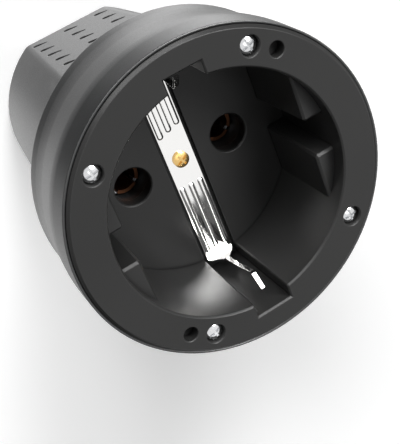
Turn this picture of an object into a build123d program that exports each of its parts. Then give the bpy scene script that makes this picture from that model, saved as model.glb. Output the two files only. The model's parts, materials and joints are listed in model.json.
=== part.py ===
"""Rubber cable coupler: a round earthed socket head on a tapered grip neck.

Millimetres. The coupler stands on the flat end of its neck with the socket's mouth up.
The origin is the centre of that end. +Z runs out of the mouth, X is the line through the
two pin holes and Y is the line of the earth clip.
"""
import os
from math import atan2, cos, radians, sin, sqrt, tan

from build123d import *

# Overall
LENGTH = 60.0                # neck end to the front face
WALL = 1.9                   # rubber wall of the bell and the neck

# Bell, from the front face down
CUP_GAP = 0.47               # between the rubber and the backs of the earth channels
COLLAR_STEP = 1.0            # the front collar stands this far out from the waist
COLLAR_DEPTH = 6.2           # where the collar ends
COLLAR_BLEND = 1.03          # soft turn into the taper, to each side of its corner
TAPER_LENGTH = 8.7
WAIST_BLEND = 1.95
BAND_LENGTH = 4.4            # straight band of the waist
BELL_EDGE_ROUND = 0.7
SHOULDER_MID_IN = 3.5        # a point half way down the shoulder: in from the waist
SHOULDER_MID_BACK = 4.9      # and behind the bell's rear edge
SHOULDER_MID_LEAN = 41.35    # degrees, how far the shoulder there faces away from level
SHOULDER_END_IN = 9.6        # the same where the shoulder ends, inside the neck
SHOULDER_END_BACK = 9.7
SHOULDER_END_LEAN = 60.1
SHOULDER_ROOM_UP = 0.76      # the room's round starts this far above the bell's rear edge
LIP_SETBACK = 0.6            # the rubber lip lies this far behind the face
LIP_WALL = 0.35

# Neck
NECK_TOP_DEPTH = 24.0        # the neck's blank starts here, inside the shoulder
NECK_TOP_IN = 4.2            # its round sides there, in from the waist
NECK_SPREAD = 5.7            # degrees, each round side leans out towards the bell
FLAT_TOP_IN = 7.25           # its flats there, in from the waist
FLAT_SPREAD = 4.2            # degrees
NECK_CORNER_ROUND = 2.2
NECK_INNER_ROUND = 0.8
NECK_END_ROUND = 0.7
END_WALL = 3.0
INLET_BEVEL = 0.5            # of the cord inlet in the end wall

# Grip marks, scooped out of both flats
MARK_LENGTH = 2.9
MARK_NOSE_R = 0.56
MARK_TAIL_R = 0.25
MARK_DEPTH = 0.62
MARK_LEAN = 21.0             # degrees
MARK_ROWS = 5
MARK_COLUMNS = 3
MARK_ROW_PITCH = 4.9
MARK_COLUMN_PITCH = 6.65
MARK_FIRST = 4.0             # centre of the first row from the neck's end

# Face disc of the socket insert
DISC_GAP = 0.12              # between the disc and the rubber lip
DISC_THICK = 3.0
DISC_BEVEL = 0.5

# Socket recess
MOUTH_R = 20.3
RECESS_DRAFT = 0.2           # the floor's radius is this much less
RECESS_DEPTH = 18.9
MOUTH_BEVEL = 0.3
CUP_WALL = 1.1
FLOOR_THICK = 2.4

# Guide blocks on both pin sides of the recess
BLOCK_STAND = 3.8            # flat of a block inside the mouth's circle, at the floor
BLOCK_DRAFT = 0.15           # this much less at the block's front
BLOCK_FRONT = 3.1            # front of a block below the face
BLOCK_SLOT = 2.6             # half the slot in a block, at the floor
BLOCK_SLOT_DRAFT = 0.65      # this much more at the block's front
BLOCK_BEVEL = 0.4

# Pins of the mating plug
PIN_PITCH = 19.0
PIN_R = 2.4
PIN_HOLE_GAP = 0.9           # on the radius, round a pin in the floor
PIN_HOLE_BEVEL = 0.25
PIN_LENGTH = 19.0

# Earth channels and the groove that joins them
CHANNEL_HALF = 3.2
CHANNEL_DEEP = 2.1           # outer flat of a channel behind the mouth's circle
CHANNEL_BEVEL = 0.2          # on the upright edges between a channel and the recess
CHANNEL_BACK = 1.1           # wall behind and beside a channel
CHANNEL_SLOPE = 2.4          # height of the sloped foot behind a channel
CHANNEL_SLOPE_IN = 1.92
GROOVE_DEPTH = 0.85

# Earth clip
CLIP_SIDE_GAP = 0.65         # between the strip and each side of its channel
CLIP_THICK = 0.55
CLIP_BEND_R = 0.9            # middle line of the strip in its bends
CLIP_SETBACK = 1.6           # middle line of the upright part inside the channel's outer flat
ARM_RISE_IN = 0.9            # the arm's middle line, each point in from the upright part
ARM_RISE = 4.15              # above the bottom of the groove
ARM_LEAN_IN = 1.85
ARM_LEAN_DEPTH = 10.35       # below the face
ARM_NOSE_IN = 3.4
ARM_NOSE_DEPTH = 4.8
ARM_TIP_IN = 1.0
ARM_TIP_DEPTH = 2.6
ARM_SAG = 1.35               # the arm towards +Y is bent this much lower
ARM_BACK = 0.6               # and further out than the other
ARM_WIDTH = 0.9
ARM_THICK = 0.5
ARM_ROUND = 0.16
ARM_SHOULDER = 3.4           # height over which the strip narrows to the arm
BEAD_COLUMNS = 3
BEAD_HALF = 0.56
BEAD_PITCH = 1.8
BEAD_HEIGHT = 0.25
BEAD_START = 4.9
BEAD_STEP = 0.55             # on the half towards +Y each next bead starts this much further out
BEAD_MARGIN = 1.6            # from a bead's end to the upright part

# Screws
CROSS_WIDTH = 0.28           # of a cross slot, as a share of the head's radius
CROSS_REACH = 0.74
CROSS_DEPTH = 0.6            # share of the head's height
HEAD_CROWN = 0.4             # share of a head's height that is domed
CLIP_SCREW_HEAD_R = 1.42
CLIP_SCREW_TURN = -18.0      # degrees
CLIP_SCREW_HEAD = 0.7
CLIP_SCREW_R = 1.0
CLIP_SCREW_LENGTH = 8.0
FACE_SCREW_ANGLES = (62.0, 140.5, 242.0, 320.5)
FACE_SCREW_OUT = 3.15        # a face screw's axis outside the mouth's circle
FACE_SCREW_HEAD_R = 1.45
FACE_SCREW_HEAD = 1.1
FACE_SCREW_R = 0.95
FACE_SCREW_LENGTH = 11.0
FACE_HEAD_GAP = 0.2          # round a face screw's head
FACE_HOLE_DEPTH = 1.5
FACE_HOLE_BEVEL = 0.15
BLIND_ANGLES = (50.8, 230.8)
BLIND_R = 1.25
BLIND_DEPTH = 2.2
BUSH_WALL = 0.5
BUSH_LENGTH = 8.0
PILLAR_WALL = 0.4
PILLAR_LENGTH = 14.0
TERMINAL_SCREW_R = 1.2
TERMINAL_SCREW_HEAD_R = 2.0
TERMINAL_SCREW_HEAD = 1.5
TERMINAL_SCREW_LENGTH = 4.6
CARRIER_SCREW_R = 1.0
CARRIER_SCREW_HEAD_R = 1.9
CARRIER_SCREW_HEAD = 1.3
CARRIER_SCREW_LENGTH = 7.0
CLAMP_SCREW_R = 1.2
CLAMP_SCREW_HEAD_R = 2.1
CLAMP_SCREW_HEAD = 1.4
CLAMP_SCREW_LENGTH = 9.0

# Line contacts
SLEEVE_WALL = 0.6
SLEEVE_SLOT = 0.7
SLEEVE_FINGERS = 8.0
SLEEVE_SETBACK = 3.0         # sleeve's front below the underside of the floor
PIN_SPARE = 0.5              # free depth under the pin's tip
BLOCK_SIDE = 6.6
TERMINAL_LENGTH = 6.8
TERMINAL_BEVEL = 0.4
WIRE_R = 1.5
WIRE_FLOOR = 1.0             # metal left behind a wire's end
SPRING_WALL = 0.5
SPRING_HEIGHT = 2.0
SPRING_GROOVE = 0.15
SPRING_SETBACK = 1.2         # spring's front below the sleeve's front
SPRING_GAP = 0.9

# Earth terminal
EARTH_HALF = 3.3
EARTH_NEAR = -3.3            # its side in Y next to the clip screw
EARTH_FAR = 8.6
EARTH_HEIGHT = 8.4
EARTH_WIRE_Y = 5.2

# Contact carrier
CARRIER_ROUND_GAP = 2.1      # to the neck's round sides, at the carrier's rear
CARRIER_FLAT_GAP = 1.6       # to the neck's flats, at the carrier's rear
TOWER_WALL = 1.6
TOWER_ROUND = 0.8
TOWER_EXTRA = 0.6            # a tower's length beyond the terminal block
POST_X = 9.2
POST_EDGE = 4.2              # a post's axis from the carrier's flat side
POST_R = 2.3
POST_LENGTH = 7.0
POST_WEB = 1.5
POST_SPARE = 0.1
EARTH_WIRE_WAY_R = 2.0

# Cord clamp
CORD_R = 4.6                 # the thickest cord that the clamp and the inlet take
CORD_SPARE = 0.2
CLAMP_WIDTH = 4.9            # along the neck
CLAMP_ROUND = 1.2
CLAMP_SPLIT = 2.0            # height of the joint between bar and saddle above the cord's middle
CLAMP_BACK = 1.6             # bar over the cord's back
CLAMP_WEB = 1.7              # between the cord's way and a clamp screw
CLAMP_HEAD_EDGE = 0.4        # from a clamp screw's head to the bar's end
CLAMP_POST_GAP = 0.4         # between the cord's way and the saddle's posts
CLAMP_END_GAP = 0.4          # between the clamp and the neck's end wall
TONGUE_GAP = 0.2             # between the cord's way and the carrier's tongue
TONGUE_THICK = 2.6

# Clearances
FIT = 0.05                   # on the radius of round parts in their holes
SLIP = 0.15                  # on each side of a block in its pocket
THREAD = 0.04                # on the radius of a shank in its threaded hole
SCREW_WAY = 0.1              # on the radius of a shank in a plain hole
HEAD_WAY = 0.3               # on the radius of a head in its way in

# Radii and distances that follow, from the recess outwards
FLOOR_R = MOUTH_R - RECESS_DRAFT
BLOCK_CHORD = MOUTH_R - BLOCK_STAND
PIN_X = PIN_PITCH / 2
PIN_HOLE_R = PIN_R + PIN_HOLE_GAP
CHANNEL_REACH = MOUTH_R + CHANNEL_DEEP
CHANNEL_BACK_R = sqrt(CHANNEL_REACH**2 + CHANNEL_HALF**2) + CHANNEL_BACK
CLIP_WIDTH = 2 * (CHANNEL_HALF - CLIP_SIDE_GAP)
CLIP_FOOT = CHANNEL_REACH - CLIP_SETBACK
BELL_INNER_R = CHANNEL_BACK_R + CUP_GAP
WAIST_R = BELL_INNER_R + WALL
COLLAR_R = WAIST_R + COLLAR_STEP
LIP_R = COLLAR_R - LIP_WALL
DISC_R = LIP_R - DISC_GAP
FACE_SCREW_RING_R = MOUTH_R + FACE_SCREW_OUT
FACE_HOLE_R = FACE_SCREW_HEAD_R + FACE_HEAD_GAP
BUSH_R = FACE_SCREW_R + BUSH_WALL
PILLAR_R = BUSH_R + PILLAR_WALL
NECK_TOP_R = WAIST_R - NECK_TOP_IN
FLAT_TOP_HALF = WAIST_R - FLAT_TOP_IN
SLEEVE_BORE_R = PIN_R + FIT
SLEEVE_R = SLEEVE_BORE_R + SLEEVE_WALL
SPRING_R = SLEEVE_R + SPRING_WALL - SPRING_GROOVE
TOWER_HALF = BLOCK_SIDE / 2 + SLIP + TOWER_WALL
CORD_WAY_R = CORD_R + CORD_SPARE
CLAMP_TOP = CORD_WAY_R + CLAMP_BACK
CLAMP_SCREW_X = CORD_WAY_R + CLAMP_WEB + CLAMP_SCREW_R
CLAMP_HALF = CLAMP_SCREW_X + CLAMP_SCREW_HEAD_R + CLAMP_HEAD_EDGE
CLAMP_POST_IN = CORD_WAY_R + CLAMP_POST_GAP
TONGUE_TOP = -CORD_WAY_R - TONGUE_GAP

# Heights that follow, from the face down and then from the neck's end up
FACE_Z = LENGTH
SEAT_Z = FACE_Z - DISC_THICK
FACE_SCREW_Z = FACE_Z - FACE_HOLE_DEPTH
COLLAR_END_Z = FACE_Z - COLLAR_DEPTH
WAIST_Z = COLLAR_END_Z - TAPER_LENGTH
BELL_REAR_Z = WAIST_Z - BAND_LENGTH
NECK_TOP_Z = FACE_Z - NECK_TOP_DEPTH
FLOOR_Z = FACE_Z - RECESS_DEPTH
GROOVE_Z = FLOOR_Z - GROOVE_DEPTH
CLIP_TOP_Z = GROOVE_Z + CLIP_THICK
UNDER_Z = FLOOR_Z - FLOOR_THICK
SLEEVE_TOP_Z = UNDER_Z - SLEEVE_SETBACK
SPRING_TOP_Z = SLEEVE_TOP_Z - SPRING_SETBACK
SLEEVE_END_Z = FLOOR_Z - PIN_LENGTH - PIN_SPARE
TERMINAL_SCREW_Z = SLEEVE_END_Z - TERMINAL_LENGTH / 2
TERMINAL_END_Z = SLEEVE_END_Z - TERMINAL_LENGTH
TOWER_END_Z = TERMINAL_END_Z - TOWER_EXTRA
EARTH_SCREW_Z = UNDER_Z - EARTH_HEIGHT / 2
EARTH_END_Z = UNDER_Z - EARTH_HEIGHT
CARRIER_Z = UNDER_Z - POST_LENGTH - POST_WEB - CARRIER_SCREW_HEAD
CLAMP_END_Z = END_WALL + CLAMP_END_GAP
CLAMP_FRONT_Z = CLAMP_END_Z + CLAMP_WIDTH

# The carrier in the neck, and its posts
CARRIER_DROP = NECK_TOP_Z - CARRIER_Z
CARRIER_R = NECK_TOP_R - CARRIER_DROP * tan(radians(NECK_SPREAD)) - WALL - CARRIER_ROUND_GAP
CARRIER_HALF = FLAT_TOP_HALF - CARRIER_DROP * tan(radians(FLAT_SPREAD)) - WALL - CARRIER_FLAT_GAP
POST_Y = CARRIER_HALF - POST_EDGE
POST_PLACES = ((POST_X, POST_Y), (-POST_X, -POST_Y))

# For cutters
OVER = 1.0                   # how far a cutter passes the face that it opens
FAR = 2 * LENGTH             # past the whole part


def rod(radius, bottom, top, x=0.0, y=0.0):
    """An upright cylinder between two heights."""
    return Pos(x, y, (bottom + top) / 2) * Cylinder(radius, top - bottom)


def frustum(bottom_r, top_r, bottom, top, x=0.0, y=0.0):
    """An upright cone between two heights."""
    return Pos(x, y, (bottom + top) / 2) * Cone(bottom_r, top_r, top - bottom)


def block(x0, x1, y0, y1, z0, z1):
    """A box between two corners."""
    middle = Pos((x0 + x1) / 2, (y0 + y1) / 2, (z0 + z1) / 2)
    return middle * Box(x1 - x0, y1 - y0, z1 - z0)


def on_ring(radius, angle):
    """X and Y of a place on a ring."""
    return radius * cos(radians(angle)), radius * sin(radians(angle))


def screw(head_r, head, shank_r, length):
    """A cross-slot screw whose head stands on Z = 0 and whose shank goes down."""
    crown = head * HEAD_CROWN
    rim = head - crown
    ball_r = (head_r**2 + crown**2) / (2 * crown)
    half_way = sqrt(ball_r**2 - head_r**2 / 2) + head - ball_r
    point = shank_r / 2
    sides = Polyline(
        (0, 0, head),
        (0, 0, -length),
        (shank_r - point, 0, -length),
        (shank_r, 0, point - length),
        (shank_r, 0, 0),
        (head_r, 0, 0),
        (head_r, 0, rim),
    )
    dome = ThreePointArc((head_r, 0, rim), (head_r / sqrt(2), 0, half_way), (0, 0, head))
    body = revolve(make_face(Curve() + [sides, dome]), Axis.Z)
    slot = Box(2 * head_r * CROSS_REACH, head_r * CROSS_WIDTH, 2 * head * CROSS_DEPTH)
    for turn in (45, 135):
        body -= Pos(0, 0, head) * Rot(0, 0, turn) * slot
    return body


def shoulder(inset):
    """Middle and end of the shoulder's arc, moved in by inset."""
    arc = []
    for inward, back, lean in (
        (SHOULDER_MID_IN, SHOULDER_MID_BACK, radians(SHOULDER_MID_LEAN)),
        (SHOULDER_END_IN, SHOULDER_END_BACK, radians(SHOULDER_END_LEAN)),
    ):
        radius = WAIST_R - inward - inset * cos(lean)
        arc.append((radius, 0, BELL_REAR_Z - back + inset * sin(lean)))
    return arc


def bell_blank():
    """The bell and its shoulder as one turned blank."""
    lip_z = FACE_Z - LIP_SETBACK
    mid, end = shoulder(0.0)
    sides = Polyline(
        end,
        (0, 0, end[2]),
        (0, 0, lip_z),
        (COLLAR_R, 0, lip_z),
        (COLLAR_R, 0, COLLAR_END_Z),
        (WAIST_R, 0, WAIST_Z),
        (WAIST_R, 0, BELL_REAR_Z),
    )
    dome = ThreePointArc((WAIST_R, 0, BELL_REAR_Z), mid, end)
    blank = revolve(make_face(Curve() + [sides, dome]), Axis.Z)
    half_turn = tan(atan2(COLLAR_STEP, TAPER_LENGTH) / 2)
    for height, radius in (
        (COLLAR_END_Z, COLLAR_BLEND / half_turn),
        (WAIST_Z, WAIST_BLEND / half_turn),
        (BELL_REAR_Z, BELL_EDGE_ROUND),
    ):
        rim = blank.edges().filter_by_position(Axis.Z, height - 0.01, height + 0.01)
        blank = fillet(rim, radius)
    return blank


def bell_room():
    """The room inside the bell and its shoulder, and the seat of the face disc."""
    start = (BELL_INNER_R, 0, BELL_REAR_Z + SHOULDER_ROOM_UP)
    mid, end = shoulder(WALL)
    sides = Polyline(
        end,
        (0, 0, end[2]),
        (0, 0, FACE_Z),
        (LIP_R, 0, FACE_Z),
        (LIP_R, 0, SEAT_Z),
        (BELL_INNER_R, 0, SEAT_Z),
        start,
    )
    return revolve(make_face(Curve() + [sides, ThreePointArc(start, mid, end)]), Axis.Z)


def neck_blank(inset, bottom, corner_round):
    """The tapered neck: a cone with two flats, its faces moved in by inset."""
    height = NECK_TOP_Z - bottom
    high = FLAT_TOP_HALF - inset
    low = high - height * tan(radians(FLAT_SPREAD))
    round_high = NECK_TOP_R - inset
    round_low = round_high - height * tan(radians(NECK_SPREAD))
    side = Polyline(
        (0, -low, bottom), (0, low, bottom), (0, high, NECK_TOP_Z), (0, -high, NECK_TOP_Z), close=True
    )
    slab = extrude(make_face(side), amount=FAR, dir=(1, 0, 0), both=True)
    neck = frustum(round_low, round_high, bottom, NECK_TOP_Z) & slab
    corners = [e for e in neck.edges() if abs(e.bounding_box().size.Z - height) < 0.01]
    return fillet(corners, corner_round)


def grip_mark():
    """Cutter of one mark: outward is +Z, deep at the -X end and running out at the +X end."""
    nose = Vector(MARK_NOSE_R - MARK_LENGTH / 2, 0, MARK_NOSE_R - MARK_DEPTH)
    tail = Vector(MARK_LENGTH / 2, 0, MARK_TAIL_R)
    run = tail - nose
    finger = Pos(0, 0, run.length / 2) * Cone(MARK_NOSE_R, MARK_TAIL_R, run.length)
    return Pos(nose) * Sphere(MARK_NOSE_R) + Plane(nose, z_dir=run).location * finger


def cut_grip_marks(housing):
    """Rows of scooped marks on the flat towards +Y and, half a turn round, on the other."""
    mark = grip_mark()
    lean = radians(FLAT_SPREAD)
    tilt = radians(MARK_LEAN)
    outward = Vector(0, cos(lean), -sin(lean))
    upward = Vector(0, sin(lean), cos(lean))
    along = Vector(1, 0, 0) * cos(tilt) + upward * sin(tilt)
    marks = []
    for row in range(MARK_ROWS):
        height = MARK_FIRST + row * MARK_ROW_PITCH
        y = FLAT_TOP_HALF - (NECK_TOP_Z - height) * tan(lean)
        for column in range(MARK_COLUMNS):
            x = (column - (MARK_COLUMNS - 1) / 2) * MARK_COLUMN_PITCH
            place = Plane(origin=(x, y, height), x_dir=along, z_dir=outward)
            marks.append(place.location * mark)
    for turn in (0, 180):
        housing -= [Rot(0, 0, turn) * m for m in marks]
    return housing


def make_housing():
    """The soft shell: bell, shoulder, neck, the bushes' pillars and the cord inlet."""
    neck = neck_blank(0.0, 0.0, NECK_CORNER_ROUND)
    end_rim = neck.edges().filter_by_position(Axis.Z, -0.01, 0.01)
    neck = fillet(end_rim, NECK_END_ROUND)
    shell = bell_blank() + neck
    shell -= bell_room() + neck_blank(WALL, END_WALL, NECK_INNER_ROUND)
    screw_end = FACE_SCREW_Z - FACE_SCREW_LENGTH
    for angle in FACE_SCREW_ANGLES:
        x, y = on_ring(FACE_SCREW_RING_R, angle)
        shell += rod(PILLAR_R, SEAT_Z - PILLAR_LENGTH, SEAT_Z, x, y)
        shell -= rod(BUSH_R + FIT, SEAT_Z - BUSH_LENGTH, FACE_Z, x, y)
        shell -= rod(FACE_SCREW_R + SCREW_WAY, screw_end - OVER, SEAT_Z, x, y)
    shell -= rod(CORD_WAY_R, -OVER, END_WALL + OVER)
    shell -= frustum(CORD_WAY_R + INLET_BEVEL, CORD_WAY_R, 0, INLET_BEVEL)
    return cut_grip_marks(shell)


def guide_block(side_x, side_y):
    """One half of a guide block, with its draft and bevels, reaching past the recess wall."""
    front = FACE_Z - BLOCK_FRONT
    outlines = []
    slot_top = BLOCK_SLOT + BLOCK_SLOT_DRAFT
    for chord, slot, z in (
        (BLOCK_CHORD, BLOCK_SLOT, FLOOR_Z),
        (BLOCK_CHORD + BLOCK_DRAFT, slot_top, front),
    ):
        corners = [
            (chord, slot, z),
            (MOUTH_R + OVER, slot, z),
            (MOUTH_R + OVER, MOUTH_R, z),
            (chord, MOUTH_R, z),
        ]
        outlines.append(make_face(Polyline(*corners, close=True)))
    body = loft(outlines)
    inner = [e for e in body.edges() if e.center().X < MOUTH_R and e.center().Y < MOUTH_R - OVER]
    lead = [e for e in inner if e.center().Z > front - 0.01]
    nose = [e for e in inner if abs(e.center().Z - (FLOOR_Z + front) / 2) < 0.01]
    body = chamfer(lead + nose, BLOCK_BEVEL)
    if side_x < 0:
        body = mirror(body, Plane.YZ)
    if side_y < 0:
        body = mirror(body, Plane.XZ)
    return body


def make_insert():
    """The moulded front: face disc, socket cup with its blocks, channels and fixing posts."""
    disc = rod(DISC_R, SEAT_Z, FACE_Z)
    disc = chamfer(disc.edges().sort_by(Axis.Z)[-1], DISC_BEVEL)
    body = disc + frustum(FLOOR_R + CUP_WALL, MOUTH_R + CUP_WALL, UNDER_Z, SEAT_Z)
    back_half = CHANNEL_HALF + CHANNEL_BACK
    back = block(-back_half, back_half, -FAR, FAR, UNDER_Z, SEAT_Z)
    slope_z = UNDER_Z + CHANNEL_SLOPE
    hull = rod(CHANNEL_BACK_R, slope_z, SEAT_Z)
    hull += frustum(CHANNEL_BACK_R - CHANNEL_SLOPE_IN, CHANNEL_BACK_R, UNDER_Z, slope_z)
    body += back & hull
    room = frustum(FLOOR_R, MOUTH_R, FLOOR_Z, FACE_Z)
    for side_x in (-1, 1):
        for side_y in (-1, 1):
            room -= guide_block(side_x, side_y)
    body -= room
    body -= block(-CHANNEL_HALF, CHANNEL_HALF, -CHANNEL_REACH, CHANNEL_REACH, GROOVE_Z, FACE_Z)
    upright = [e for e in body.edges() if abs(e.bounding_box().size.Z - RECESS_DEPTH) < 0.01]
    upright = [e for e in upright if abs(abs(e.center().X) - CHANNEL_HALF) < 0.01]
    body = chamfer(upright, CHANNEL_BEVEL)
    mouth = body.edges().filter_by_position(Axis.Z, FACE_Z - 0.01, FACE_Z + 0.01)
    mouth = [e for e in mouth if max_reach(e) < CHANNEL_BACK_R]
    body = chamfer(mouth, MOUTH_BEVEL)
    for side_x in (-1, 1):
        x = side_x * PIN_X
        body -= rod(PIN_HOLE_R, UNDER_Z - OVER, FLOOR_Z + OVER, x)
        rim = PIN_HOLE_R + PIN_HOLE_BEVEL
        body -= frustum(PIN_HOLE_R, rim, FLOOR_Z - PIN_HOLE_BEVEL, FLOOR_Z, x)
    for angle in FACE_SCREW_ANGLES:
        x, y = on_ring(FACE_SCREW_RING_R, angle)
        body -= rod(FACE_HOLE_R, FACE_SCREW_Z, FACE_Z + OVER, x, y)
        rim = FACE_HOLE_R + FACE_HOLE_BEVEL
        body -= frustum(FACE_HOLE_R, rim, FACE_Z - FACE_HOLE_BEVEL, FACE_Z, x, y)
        body -= rod(FACE_SCREW_R + SCREW_WAY, SEAT_Z - OVER, FACE_Z, x, y)
    for angle in BLIND_ANGLES:
        x, y = on_ring(FACE_SCREW_RING_R, angle)
        body -= rod(BLIND_R, FACE_Z - BLIND_DEPTH, FACE_Z + OVER, x, y)
        rim = BLIND_R + FACE_HOLE_BEVEL
        body -= frustum(BLIND_R, rim, FACE_Z - FACE_HOLE_BEVEL, FACE_Z, x, y)
    for x, y in POST_PLACES:
        body += rod(POST_R, UNDER_Z - POST_LENGTH, UNDER_Z, x, y)
        body -= rod(CARRIER_SCREW_R + THREAD, UNDER_Z - POST_LENGTH - OVER, UNDER_Z, x, y)
    return body - rod(CLIP_SCREW_R + SCREW_WAY, UNDER_Z - OVER, FLOOR_Z)


def max_reach(edge):
    """Largest distance of an edge's points from the Z axis."""
    points = [edge @ share for share in (0.0, 0.25, 0.5, 0.75, 1.0)]
    return max(sqrt(p.X**2 + p.Y**2) for p in points)


def clip_half(bead_step, arm_sag, arm_back):
    """Half of the earth clip, from the middle to the tip of the arm towards +Y."""
    middle_z = GROOVE_Z + CLIP_THICK / 2
    path = [(0, 0, middle_z), (0, CLIP_FOOT, middle_z)]
    for inward, z in (
        (ARM_RISE_IN, GROOVE_Z + ARM_RISE),
        (ARM_LEAN_IN, FACE_Z - ARM_LEAN_DEPTH - arm_sag),
        (ARM_NOSE_IN - arm_back, FACE_Z - ARM_NOSE_DEPTH - arm_sag),
        (ARM_TIP_IN - arm_back, FACE_Z - ARM_TIP_DEPTH - arm_sag),
    ):
        path.append((0, CLIP_FOOT - inward, z))
    line = FilletPolyline(*path, radius=CLIP_BEND_R)
    start_plane = Plane(path[0], x_dir=(1, 0, 0), z_dir=(0, 1, 0))
    section = start_plane * Rectangle(CLIP_WIDTH, CLIP_THICK)
    foot = CLIP_TOP_Z + CLIP_THICK
    half = CLIP_WIDTH / 2
    neck = ARM_WIDTH / 2 - ARM_ROUND
    outline = Polyline(
        (-half, 0, GROOVE_Z - OVER),
        (half, 0, GROOVE_Z - OVER),
        (half, 0, foot),
        (neck, 0, foot + ARM_SHOULDER),
        (-neck, 0, foot + ARM_SHOULDER),
        (-half, 0, foot),
        close=True,
    )
    strip = sweep(section, path=line)
    strip &= extrude(make_face(outline), amount=FAR, dir=(0, 1, 0), both=True)
    wire = start_plane * RectangleRounded(ARM_WIDTH, ARM_THICK, ARM_ROUND)
    strip += sweep(wire, path=line)
    bead_r = (BEAD_HALF**2 + BEAD_HEIGHT**2) / (2 * BEAD_HEIGHT)
    bead_z = CLIP_TOP_Z + BEAD_HEIGHT - bead_r
    cap = block(-FAR, FAR, 0, FAR, CLIP_TOP_Z - CLIP_THICK / 2, CLIP_TOP_Z + OVER)
    for column in range(BEAD_COLUMNS):
        x = (column - (BEAD_COLUMNS - 1) / 2) * BEAD_PITCH
        start = BEAD_START + BEAD_HALF + column * bead_step
        length = CLIP_FOOT - BEAD_MARGIN - BEAD_HALF - start
        bead = Pos(x, start + length / 2, bead_z) * Rot(90, 0, 0) * Cylinder(bead_r, length)
        for y in (start, start + length):
            bead += Pos(x, y, bead_z) * Sphere(bead_r)
        strip += bead & cap
    return strip


def make_clip():
    """The earth clip: one bent strip with pressed beads and a sprung arm at both ends."""
    clip = clip_half(BEAD_STEP, ARM_SAG, ARM_BACK) + mirror(clip_half(0.0, 0.0, 0.0), Plane.XZ)
    return clip - rod(CLIP_SCREW_R + SCREW_WAY, GROOVE_Z - OVER, CLIP_TOP_Z + OVER)


def make_earth_terminal():
    """Brass block behind the floor, pulled up by the clip's screw."""
    body = block(-EARTH_HALF, EARTH_HALF, EARTH_NEAR, EARTH_FAR, EARTH_END_Z, UNDER_Z)
    body = chamfer(body.edges().filter_by(Axis.Z), TERMINAL_BEVEL)
    body -= rod(CLIP_SCREW_R + THREAD, EARTH_END_Z - OVER, UNDER_Z + OVER)
    body -= rod(WIRE_R, EARTH_END_Z - OVER, UNDER_Z + OVER, 0, EARTH_WIRE_Y)
    way = Rot(-90, 0, 0) * rod(TERMINAL_SCREW_R + THREAD, EARTH_WIRE_Y, EARTH_FAR + OVER)
    return body - Pos(0, 0, EARTH_SCREW_Z) * way


def make_line_contact():
    """Slotted sleeve and terminal block, turned and milled from one bar, on the Z axis."""
    half = BLOCK_SIDE / 2
    body = block(-half, half, -half, half, TERMINAL_END_Z, SLEEVE_END_Z)
    body = chamfer(body.edges().filter_by(Axis.Z), TERMINAL_BEVEL)
    body += rod(SLEEVE_R, SLEEVE_END_Z, SLEEVE_TOP_Z)
    groove_r = SLEEVE_R - SPRING_GROOVE
    groove = rod(SLEEVE_R + OVER, SPRING_TOP_Z - SPRING_HEIGHT, SPRING_TOP_Z)
    body -= groove - rod(groove_r, SPRING_TOP_Z - SPRING_HEIGHT, SPRING_TOP_Z)
    body -= rod(SLEEVE_BORE_R, SLEEVE_END_Z, SLEEVE_TOP_Z + OVER)
    slot_z = SLEEVE_TOP_Z - SLEEVE_FINGERS
    slot = block(-FAR, FAR, -SLEEVE_SLOT / 2, SLEEVE_SLOT / 2, slot_z, SLEEVE_TOP_Z + OVER)
    for turn in (45, 135):
        body -= Rot(0, 0, turn) * slot
    body -= rod(WIRE_R, TERMINAL_END_Z - OVER, SLEEVE_END_Z - WIRE_FLOOR)
    way = Rot(0, 90, 0) * rod(TERMINAL_SCREW_R + THREAD, 0, half + OVER)
    return body - Pos(0, 0, TERMINAL_SCREW_Z) * way


def make_spring():
    """Open steel ring in the groove round the sleeve's fingers, on the Z axis."""
    low = SPRING_TOP_Z - SPRING_HEIGHT
    ring = rod(SPRING_R, low, SPRING_TOP_Z) - rod(SLEEVE_R - SPRING_GROOVE, low, SPRING_TOP_Z)
    gap = SPRING_GAP / 2
    return ring - block(0, FAR, -gap, gap, low - OVER, SPRING_TOP_Z + OVER)


def make_bush():
    """Threaded brass bush of a face screw, on the Z axis."""
    low = SEAT_Z - BUSH_LENGTH
    return rod(BUSH_R, low, SEAT_Z) - rod(FACE_SCREW_R + THREAD, low - OVER, SEAT_Z + OVER)


def carrier_tower(side_x):
    """Square tower round one terminal block."""
    x = side_x * PIN_X
    tower = block(
        x - TOWER_HALF, x + TOWER_HALF, -TOWER_HALF, TOWER_HALF, TOWER_END_Z, CARRIER_Z + OVER
    )
    return fillet(tower.edges().filter_by(Axis.Z), TOWER_ROUND)


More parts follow.
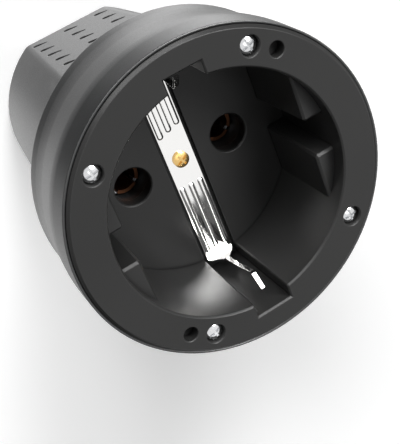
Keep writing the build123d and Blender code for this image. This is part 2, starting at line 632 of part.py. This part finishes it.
def make_carrier():
    """Moulded block behind the floor that holds the contacts and the saddle of the cord clamp."""
    body = rod(CARRIER_R, CARRIER_Z, UNDER_Z)
    body &= block(-FAR, FAR, -CARRIER_HALF, CARRIER_HALF, CARRIER_Z, UNDER_Z)
    tongue_low = TONGUE_TOP - TONGUE_THICK
    body += block(-CLAMP_HALF, CLAMP_HALF, tongue_low, TONGUE_TOP, CLAMP_END_Z, CARRIER_Z)
    saddle = block(
        -CLAMP_HALF, CLAMP_HALF, tongue_low, CLAMP_SPLIT, CLAMP_END_Z, CLAMP_FRONT_Z
    )
    saddle -= rod(CORD_WAY_R, CLAMP_END_Z - OVER, CLAMP_FRONT_Z + OVER)
    saddle -= block(-CLAMP_POST_IN, CLAMP_POST_IN, 0, FAR, CLAMP_END_Z - OVER, CLAMP_FRONT_Z + OVER)
    body += saddle
    for side_x in (-1, 1):
        body += carrier_tower(side_x)
    pocket = BLOCK_SIDE / 2 + SLIP
    for side_x in (-1, 1):
        x = side_x * PIN_X
        body -= rod(SLEEVE_R + FIT, TOWER_END_Z, UNDER_Z + OVER, x)
        spring_low = SLEEVE_TOP_Z - SLEEVE_FINGERS
        body -= rod(SPRING_R + HEAD_WAY, spring_low, UNDER_Z + OVER, x)
        body -= block(x - pocket, x + pocket, -pocket, pocket, TOWER_END_Z - OVER, SLEEVE_END_Z)
        way = Rot(0, 90 * side_x, 0) * rod(TERMINAL_SCREW_HEAD_R + HEAD_WAY, BLOCK_SIDE / 2, FAR)
        body -= Pos(x, 0, TERMINAL_SCREW_Z) * way
        clamp_way = Rot(-90, 0, 0) * rod(
            CLAMP_SCREW_R + THREAD, CLAMP_TOP - CLAMP_SCREW_LENGTH - OVER, CLAMP_TOP
        )
        body -= Pos(side_x * CLAMP_SCREW_X, 0, (CLAMP_END_Z + CLAMP_FRONT_Z) / 2) * clamp_way
    earth_x = EARTH_HALF + SLIP
    earth_low = EARTH_END_Z - SLIP
    body -= block(
        -earth_x, earth_x, EARTH_NEAR - SLIP, EARTH_FAR + SLIP, earth_low, UNDER_Z + OVER
    )
    body -= rod(EARTH_WIRE_WAY_R, CARRIER_Z - OVER, earth_low, 0, EARTH_WIRE_Y)
    way = Rot(-90, 0, 0) * rod(TERMINAL_SCREW_HEAD_R + HEAD_WAY, EARTH_FAR, FAR)
    body -= Pos(0, 0, EARTH_SCREW_Z) * way
    post_end = UNDER_Z - POST_LENGTH - POST_SPARE
    for x, y in POST_PLACES:
        body -= rod(POST_R + FIT, post_end, UNDER_Z + OVER, x, y)
        body -= rod(CARRIER_SCREW_R + SCREW_WAY, CARRIER_Z - OVER, UNDER_Z, x, y)
        head_way = CARRIER_Z + CARRIER_SCREW_HEAD
        body -= rod(CARRIER_SCREW_HEAD_R + HEAD_WAY, CARRIER_Z - OVER, head_way, x, y)
    return body


def make_clamp_bar():
    """Bar of the cord clamp, arched over the cord and seated on the saddle's posts."""
    bar = block(-CLAMP_HALF, CLAMP_HALF, CLAMP_SPLIT, CLAMP_TOP, CLAMP_END_Z, CLAMP_FRONT_Z)
    ends = bar.edges().filter_by(Axis.Z).sort_by(Axis.Y)[-2:]
    bar = fillet(ends, CLAMP_ROUND)
    bar -= rod(CORD_WAY_R, CLAMP_END_Z - OVER, CLAMP_FRONT_Z + OVER)
    way = Rot(-90, 0, 0) * rod(CLAMP_SCREW_R + SCREW_WAY, CLAMP_SPLIT - OVER, CLAMP_TOP + OVER)
    for side_x in (-1, 1):
        bar -= Pos(side_x * CLAMP_SCREW_X, 0, (CLAMP_END_Z + CLAMP_FRONT_Z) / 2) * way
    return bar


def make_pieces():
    """Every piece in its place, under the name of its node."""
    pieces = {
        "rubber_housing": make_housing(),
        "socket_insert": make_insert(),
        "earth_clip": make_clip(),
        "earth_terminal": make_earth_terminal(),
        "contact_carrier": make_carrier(),
        "cord_clamp_bar": make_clamp_bar(),
    }
    clip_screw = screw(CLIP_SCREW_HEAD_R, CLIP_SCREW_HEAD, CLIP_SCREW_R, CLIP_SCREW_LENGTH)
    pieces["earth_clip_screw"] = Pos(0, 0, CLIP_TOP_Z) * Rot(0, 0, CLIP_SCREW_TURN) * clip_screw

    terminal_screw = screw(
        TERMINAL_SCREW_HEAD_R, TERMINAL_SCREW_HEAD, TERMINAL_SCREW_R, TERMINAL_SCREW_LENGTH
    )
    place = Pos(0, EARTH_FAR, EARTH_SCREW_Z) * Rot(-90, 0, 0)
    pieces["earth_terminal_screw"] = place * terminal_screw

    contact = make_line_contact()
    spring = make_spring()
    clamp_screw = screw(CLAMP_SCREW_HEAD_R, CLAMP_SCREW_HEAD, CLAMP_SCREW_R, CLAMP_SCREW_LENGTH)
    for side, side_x in (("left", -1), ("right", 1)):
        turn = Pos(side_x * PIN_X, 0, 0) * Rot(0, 0, 90 - 90 * side_x)
        pieces[f"line_contact_{side}"] = turn * contact
        pieces[f"contact_spring_{side}"] = turn * spring
        head_x = side_x * (PIN_X + BLOCK_SIDE / 2)
        place = Pos(head_x, 0, TERMINAL_SCREW_Z) * Rot(0, 90 * side_x, 0)
        pieces[f"line_terminal_screw_{side}"] = place * terminal_screw
        clamp_z = (CLAMP_END_Z + CLAMP_FRONT_Z) / 2
        place = Pos(side_x * CLAMP_SCREW_X, CLAMP_TOP, clamp_z) * Rot(-90, 0, 0)
        pieces[f"cord_clamp_screw_{side}"] = place * clamp_screw

    carrier_screw = screw(
        CARRIER_SCREW_HEAD_R, CARRIER_SCREW_HEAD, CARRIER_SCREW_R, CARRIER_SCREW_LENGTH
    )
    for number, (x, y) in enumerate(POST_PLACES, 1):
        place = Pos(x, y, CARRIER_Z + CARRIER_SCREW_HEAD) * Rot(180, 0, 0)
        pieces[f"carrier_screw_{number}"] = place * carrier_screw

    face_screw = screw(FACE_SCREW_HEAD_R, FACE_SCREW_HEAD, FACE_SCREW_R, FACE_SCREW_LENGTH)
    bush = make_bush()
    for number, angle in enumerate(FACE_SCREW_ANGLES, 1):
        x, y = on_ring(FACE_SCREW_RING_R, angle)
        pieces[f"face_screw_{number}"] = Pos(x, y, FACE_SCREW_Z) * Rot(0, 0, angle) * face_screw
        pieces[f"face_screw_bush_{number}"] = Pos(x, y, 0) * bush
    return pieces


os.makedirs("parts", exist_ok=True)
for name, shape in make_pieces().items():
    shape.label = name
    export_step(shape, f"parts/{name}.step")
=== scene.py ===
"""Looks of the rubber cable coupler: camera, studio, materials and the finer surface detail.

Metres, in the CAD's own frame: the coupler stands on its neck with the socket's mouth up.
"""
import json
from math import cos, radians

import bpy
from mathutils import Matrix, Vector

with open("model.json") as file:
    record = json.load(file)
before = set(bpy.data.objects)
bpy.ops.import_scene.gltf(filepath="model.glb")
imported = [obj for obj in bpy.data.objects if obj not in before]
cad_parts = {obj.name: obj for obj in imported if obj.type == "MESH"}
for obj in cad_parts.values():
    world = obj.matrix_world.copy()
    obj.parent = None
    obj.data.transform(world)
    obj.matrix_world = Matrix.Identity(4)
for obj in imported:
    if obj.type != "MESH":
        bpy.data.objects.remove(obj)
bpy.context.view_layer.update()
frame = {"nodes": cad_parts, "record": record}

WHITE = (1.0, 1.0, 1.0, 1.0)

# The photograph's viewpoint, in the part's own frame
CAMERA_PLACE = (-0.0410, 0.0797, 0.1900)
CAMERA_RIGHT = (0.8390, -0.3329, 0.4304)
CAMERA_UP = (0.4970, 0.7908, -0.3572)
CAMERA_BACK = (-0.2214, 0.5136, 0.8290)
CAMERA_LENS = 83.28          # millimetres
CAMERA_SENSOR = 36.0         # millimetres
CAMERA_CLIP_START = 0.01

FLOOR_HALF = 3.0
FLOOR_HEIGHT = -0.0001       # a little under the neck's end, so that the two never share a plane
FLOOR_CAMERA_GLOW = 0.13     # brings the unshaded floor to white, for the camera only

# How far up a reflection has to look, as the sine of its height, before it shows the white background
WHITE_FROM, WHITE_FULL = 0.1, 0.4

# The soft lamp that makes the glow on the recess wall
GLOW_PLACE = (0.30, 0.21, 0.515)
GLOW_AIM = (0, 0, 0.04)
GLOW_DIAMETER = 0.27
GLOW_WATTS = 5.4

# Soft panels of the studio: direction, full inside this angle, gone outside this angle, level
WORLD_PANELS = (
    # low ones, seen in the rubber
    ((0.0, 0.0, -1.0), 0, 26, 0.96),
    ((0.40, 0.23, -0.888), 0, 20, 1.84),
    ((0.107, 0.419, -0.902), 0, 20, 0.5),
    ((-0.37, -0.29, -0.88), 0, 22, 0.96),
    ((0.72, 0.3, -0.62), 5, 34, 1.48),
    ((0.2, -0.55, -0.81), 5, 34, 0.88),
    # overhead, seen in the strip and the face
    ((0.225, -0.478, 0.849), 6, 14, 0.72),
    ((-0.17, -0.40, 0.90), 6, 20, 0.60),
    ((0.22, -0.51, 0.83), 14, 36, 0.09),
    ((0.0, 0.0, 1.0), 2, 16, 2.6),
    ((0.0, 0.0, 1.0), 20, 88, 0.12),
    # round the horizon, seen from the sides
    ((0.1, -1.0, -0.1), 10, 42, 0.64),
    ((-1.0, 0.0, -0.1), 10, 42, 0.48),
    ((1.0, 0.0, -0.1), 10, 42, 0.4),
    # from behind the mouth, seen in the bevels
    ((-0.19, 0.855, 0.48), 6, 22, 10.2),
    ((0.29, 0.80, 0.50), 4, 13, 24.0),
)

# Outer edges are rounded in the normal alone, and their colour is lightened as wear and painted highlight;
# creases are found by how open a point is, and get painted shade
EDGE_SAMPLES = 12
RUBBER_EDGE_RADIUS = 0.0004
MOULDED_EDGE_RADIUS = 0.0002
CREASE_REACH = 4             # in edge radii
OPEN_FROM, OPEN_FULL = 0.75, 0.92
CREASE_FROM, CREASE_FULL = 0.92, 0.55
EDGE_FROM, EDGE_FULL = 0.985, 0.9


class Nodes:
    """A node tree, with short calls for the nodes used here."""

    def __init__(self, tree):
        self.tree = tree

    def node(self, kind, **settings):
        made = self.tree.nodes.new(kind)
        for key, value in settings.items():
            setattr(made, key, value)
        return made

    def link(self, source, target):
        self.tree.links.new(source, target)

    def fill(self, target, value):
        """Link a socket or set a plain value. None leaves the target as it is."""
        if isinstance(value, bpy.types.NodeSocket):
            self.link(value, target)
        elif value is not None:
            target.default_value = value

    def math(self, operation, a, b=None):
        made = self.node("ShaderNodeMath", operation=operation)
        self.fill(made.inputs[0], a)
        self.fill(made.inputs[1], b)
        return made.outputs[0]

    def dot(self, a, b):
        made = self.node("ShaderNodeVectorMath", operation="DOT_PRODUCT")
        self.fill(made.inputs[0], a)
        self.fill(made.inputs[1], b)
        return made.outputs["Value"]

    def remap(self, value, low, high, new_low=0.0, new_high=1.0, kind="LINEAR"):
        made = self.node("ShaderNodeMapRange", interpolation_type=kind)
        settings = {"Value": value, "From Min": low, "From Max": high, "To Min": new_low, "To Max": new_high}
        for key, setting in settings.items():
            self.fill(made.inputs[key], setting)
        return made.outputs["Result"]


class Material(Nodes):
    """A material with one Principled BSDF, whose textures lie in the node's own coordinates."""

    def __init__(self, name):
        self.material = bpy.data.materials.new(name)
        self.material.use_nodes = True
        super().__init__(self.material.node_tree)
        self.bsdf = self.tree.nodes["Principled BSDF"]
        self.place = self.node("ShaderNodeTexCoord").outputs["Object"]

    def noise(self, scale, detail=2.0, roughness=0.5, stretch=None):
        """Noise from 0 to 1. scale is in grains per metre."""
        place = self.place
        if stretch:
            mapping = self.node("ShaderNodeMapping")
            mapping.inputs["Scale"].default_value = stretch
            self.link(place, mapping.inputs["Vector"])
            place = mapping.outputs["Vector"]
        made = self.node("ShaderNodeTexNoise")
        self.link(place, made.inputs["Vector"])
        made.inputs["Scale"].default_value = scale
        made.inputs["Detail"].default_value = detail
        made.inputs["Roughness"].default_value = roughness
        return made.outputs["Fac"]

    def mix(self, share, a, b):
        """Colour a where share is 0, and b where it is 1."""
        made = self.node("ShaderNodeMix", data_type="RGBA")
        self.fill(made.inputs["Factor"], share)
        for socket, value in ((made.inputs[6], a), (made.inputs[7], b)):
            self.fill(socket, value if isinstance(value, bpy.types.NodeSocket) else (*value, 1.0))
        return made.outputs[2]

    def edges(self, radius):
        """The normal with its outer edges rounded, 1 on those edges, and 1 deep in creases, where the colour
        gets painted shade.
        """
        bevel = self.node("ShaderNodeBevel", samples=EDGE_SAMPLES)
        bevel.inputs["Radius"].default_value = radius
        true_normal = self.node("ShaderNodeNewGeometry").outputs["Normal"]
        around = self.node("ShaderNodeAmbientOcclusion", samples=EDGE_SAMPLES, only_local=True)
        around.inputs["Distance"].default_value = CREASE_REACH * radius
        openness = around.outputs["AO"]
        rounded = self.node("ShaderNodeMix", data_type="VECTOR")
        self.link(self.remap(openness, OPEN_FROM, OPEN_FULL), rounded.inputs["Factor"])
        self.link(true_normal, rounded.inputs[4])
        self.link(bevel.outputs["Normal"], rounded.inputs[5])
        normal = rounded.outputs[1]
        edge = self.remap(self.dot(normal, true_normal), EDGE_FROM, EDGE_FULL)
        return normal, edge, self.remap(openness, CREASE_FROM, CREASE_FULL)

    def bump(self, height, strength, distance, below=None):
        made = self.node("ShaderNodeBump")
        made.inputs["Strength"].default_value = strength
        made.inputs["Distance"].default_value = distance
        self.link(height, made.inputs["Height"])
        self.fill(made.inputs["Normal"], below)
        return made.outputs["Normal"]

    def finish(self, colour, roughness, normal, **levels):
        """Link what varies, and set what is the same all over on the shader's own sockets."""
        self.link(colour, self.bsdf.inputs["Base Color"])
        self.link(roughness, self.bsdf.inputs["Roughness"])
        self.link(normal, self.bsdf.inputs["Normal"])
        for key, value in levels.items():
            self.bsdf.inputs[key.replace("_", " ")].default_value = value
        return self.material


def rubber():
    """Black rubber: cloudy and grained, a little dusty, lighter on its outer edges as wear and painted
    highlight, with painted shade and more roughness in its creases.
    """
    s = Material("rubber")
    cloud = s.noise(scale=60, detail=3)
    grain = s.noise(scale=5200, detail=3, roughness=0.6)
    dust = s.remap(s.noise(scale=900, detail=4, roughness=0.7), 0.55, 0.75)
    rounded, edge, crease_shade = s.edges(RUBBER_EDGE_RADIUS)
    colour = s.mix(cloud, (0.009, 0.0095, 0.0098), (0.014, 0.0147, 0.015))
    colour = s.mix(s.math("MULTIPLY", dust, 0.2), colour, (0.04, 0.04, 0.04))
    # outer edges lighter: partly wear, partly a painted highlight on the bevels
    colour = s.mix(s.math("MULTIPLY", edge, 0.35), colour, (0.05, 0.05, 0.05))
    # creases darkened towards black: painted shade
    colour = s.mix(crease_shade, colour, (0.003, 0.003, 0.003))
    rough = s.math("ADD", s.remap(grain, 0.3, 0.7, 0.28, 0.38), s.math("MULTIPLY", crease_shade, 0.6))
    normal = s.bump(grain, strength=0.25, distance=0.00004, below=rounded)
    return s.finish(colour, rough, normal, Specular_IOR_Level=0.6)


def moulded(name, dark, light, smooth, rough, level):
    """Moulded plastic between two blacks, between two roughnesses, with a plain specular level, lighter outer
    edges as wear and painted highlight, and painted shade in its creases.
    """
    s = Material(name)
    cloud = s.noise(scale=45, detail=3)
    grain = s.noise(scale=7500, detail=2, roughness=0.55)
    # a lighter colour for the outer edges: partly wear, partly a painted highlight on the bevels
    worn_and_highlit = tuple(min(1.0, channel * 2.2 + 0.012) for channel in light)
    rounded, edge, crease_shade = s.edges(MOULDED_EDGE_RADIUS)
    colour = s.mix(cloud, dark, light)
    # outer edges lighter: wear and painted highlight
    colour = s.mix(s.math("MULTIPLY", edge, 0.5), colour, worn_and_highlit)
    # creases darkened towards black: painted shade
    colour = s.mix(crease_shade, colour, (0.004, 0.004, 0.004))
    roughness = s.math("ADD", s.remap(grain, 0.3, 0.7, smooth, rough), s.math("MULTIPLY", crease_shade, 0.3))
    normal = s.bump(grain, strength=0.2, distance=0.00003, below=rounded)
    return s.finish(colour, roughness, normal, Specular_IOR_Level=level)


def metal(name, dark, light, smooth, rough, stretch=None):
    """Metal between two colours and two roughnesses, with fine lines where stretch is given."""
    s = Material(name)
    cloud = s.noise(scale=220, detail=4, roughness=0.6)
    lines = s.noise(scale=2600 if stretch else 3000, detail=2, stretch=stretch)
    colour = s.mix(cloud, dark, light)
    roughness = s.remap(s.math("ADD", cloud, lines), 0.7, 1.3, smooth, rough)
    normal = s.bump(lines, strength=0.12, distance=0.00002)
    return s.finish(colour, roughness, normal, Metallic=1.0)


def make_materials():
    """One material for each slot of the record."""
    return {
        "rubber_black": rubber(),
        "insert_black": moulded(
            "insert_plastic", dark=(0.0105, 0.0105, 0.0104), light=(0.0145, 0.0145, 0.0143),
            smooth=0.31, rough=0.38, level=0.23),
        "carrier_black": moulded(
            "carrier_plastic", dark=(0.01, 0.01, 0.01), light=(0.016, 0.016, 0.016),
            smooth=0.45, rough=0.55, level=0.4),
        "nickel_strip": metal(
            "nickelled_strip", dark=(0.88, 0.875, 0.86), light=(0.94, 0.935, 0.925),
            smooth=0.08, rough=0.16, stretch=(1, 0.05, 1)),
        "screw_bright": metal(
            "plated_steel", dark=(0.62, 0.63, 0.64), light=(0.76, 0.76, 0.77), smooth=0.1, rough=0.18),
        "brass_screw": metal(
            "brass", dark=(0.68, 0.43, 0.14), light=(0.82, 0.57, 0.24), smooth=0.2, rough=0.28),
        "brass_plain": metal(
            "turned_brass", dark=(0.68, 0.49, 0.21), light=(0.78, 0.58, 0.28), smooth=0.25, rough=0.4),
        # copper kept far darker than its own colour: painted shade for the contacts deep in the pin holes
        "copper_contact": metal(
            "copper_alloy", dark=(0.09, 0.038, 0.02), light=(0.14, 0.06, 0.03), smooth=0.3, rough=0.45),
        "spring_steel": metal(
            "spring_steel", dark=(0.42, 0.43, 0.45), light=(0.55, 0.55, 0.57), smooth=0.25, rough=0.4),
    }


def dress_pieces():
    """Give every CAD node the material of its slot in the record."""
    materials = make_materials()
    slot_of = {part["node"]: part["material_slot"] for part in frame["record"]["subparts"]}
    for name, node in frame["nodes"].items():
        node.data.materials.clear()
        node.data.materials.append(materials[slot_of[name]])


def make_camera():
    data = bpy.data.cameras.new("camera")
    data.lens = CAMERA_LENS
    data.sensor_width = CAMERA_SENSOR
    data.clip_start = CAMERA_CLIP_START
    camera = bpy.data.objects.new("camera", data)
    turn = Matrix((CAMERA_RIGHT, CAMERA_UP, CAMERA_BACK)).transposed().to_4x4()
    camera.matrix_world = Matrix.Translation(CAMERA_PLACE) @ turn
    bpy.context.scene.collection.objects.link(camera)
    bpy.context.scene.camera = camera


def floor_material():
    """White and diffuse, with a little glow for the camera."""
    material = bpy.data.materials.new("floor")
    material.use_nodes = True
    s = Nodes(material.node_tree)
    s.tree.nodes.clear()
    plain = s.node("ShaderNodeBsdfDiffuse")
    plain.inputs["Color"].default_value = WHITE
    glow = s.node("ShaderNodeEmission")
    glow.inputs["Color"].default_value = WHITE
    to_camera = s.node("ShaderNodeLightPath").outputs["Is Camera Ray"]
    s.link(s.math("MULTIPLY", to_camera, FLOOR_CAMERA_GLOW), glow.inputs["Strength"])
    both = s.node("ShaderNodeAddShader")
    s.link(plain.outputs[0], both.inputs[0])
    s.link(glow.outputs[0], both.inputs[1])
    s.link(both.outputs[0], s.node("ShaderNodeOutputMaterial").inputs["Surface"])
    return material


def make_floor():
    """A plain floor that carries the shadow. Only the camera sees it."""
    mesh = bpy.data.meshes.new("floor")
    corners = [(x * FLOOR_HALF, y * FLOOR_HALF, FLOOR_HEIGHT) for x, y in ((-1, -1), (1, -1), (1, 1), (-1, 1))]
    mesh.from_pydata(corners, [], [(0, 1, 2, 3)])
    mesh.materials.append(floor_material())
    floor = bpy.data.objects.new("floor", mesh)
    bpy.context.scene.collection.objects.link(floor)
    floor.visible_glossy = False
    floor.visible_diffuse = False
    floor.visible_transmission = False
    floor.visible_shadow = False


def make_world():
    """White to the camera, and above the horizon in reflections. Elsewhere a dim room with soft panels."""
    world = bpy.data.worlds.new("studio")
    bpy.context.scene.world = world
    world.use_nodes = True
    s = Nodes(world.node_tree)
    s.tree.nodes.clear()
    way = s.node("ShaderNodeTexCoord").outputs["Generated"]
    total = None
    for direction, inner, outer, level in WORLD_PANELS:
        facing = s.dot(way, Vector(direction).normalized())
        panel = s.remap(facing, cos(radians(outer)), cos(radians(inner)), 0.0, level, "SMOOTHSTEP")
        total = panel if total is None else s.math("ADD", total, panel)
    split = s.node("ShaderNodeSeparateXYZ")
    s.link(way, split.inputs[0])
    above = s.remap(split.outputs["Z"], WHITE_FROM, WHITE_FULL, kind="SMOOTHSTEP")
    path = s.node("ShaderNodeLightPath")
    mirrored = s.math("MAXIMUM", path.outputs["Is Glossy Ray"], path.outputs["Is Transmission Ray"])
    total = s.math("MAXIMUM", total, s.math("MULTIPLY", mirrored, above))
    choice = s.node("ShaderNodeMix", data_type="FLOAT")
    s.link(path.outputs["Is Camera Ray"], choice.inputs["Factor"])
    s.link(total, choice.inputs[2])
    choice.inputs[3].default_value = 1.0
    sky = s.node("ShaderNodeBackground")
    sky.inputs["Color"].default_value = WHITE
    s.link(choice.outputs[0], sky.inputs["Strength"])
    s.link(sky.outputs[0], s.node("ShaderNodeOutputWorld").inputs["Surface"])


def make_glow():
    """A soft lamp that lights the part alone, so that the floor gets no second shadow."""
    data = bpy.data.lights.new("glow", "AREA")
    data.shape = "DISK"
    data.size = GLOW_DIAMETER
    data.energy = GLOW_WATTS
    lamp = bpy.data.objects.new("glow", data)
    lamp.location = GLOW_PLACE
    lamp.rotation_euler = (Vector(GLOW_AIM) - Vector(GLOW_PLACE)).to_track_quat("-Z", "Y").to_euler()
    lamp.visible_camera = False
    bpy.context.scene.collection.objects.link(lamp)
    lit = bpy.data.collections.new("glow lights")
    for node in frame["nodes"].values():
        lit.objects.link(node)
    lamp.light_linking.receiver_collection = lit


dress_pieces()
make_camera()
make_floor()
make_world()
make_glow()
bpy.context.scene.view_settings.view_transform = "Standard"
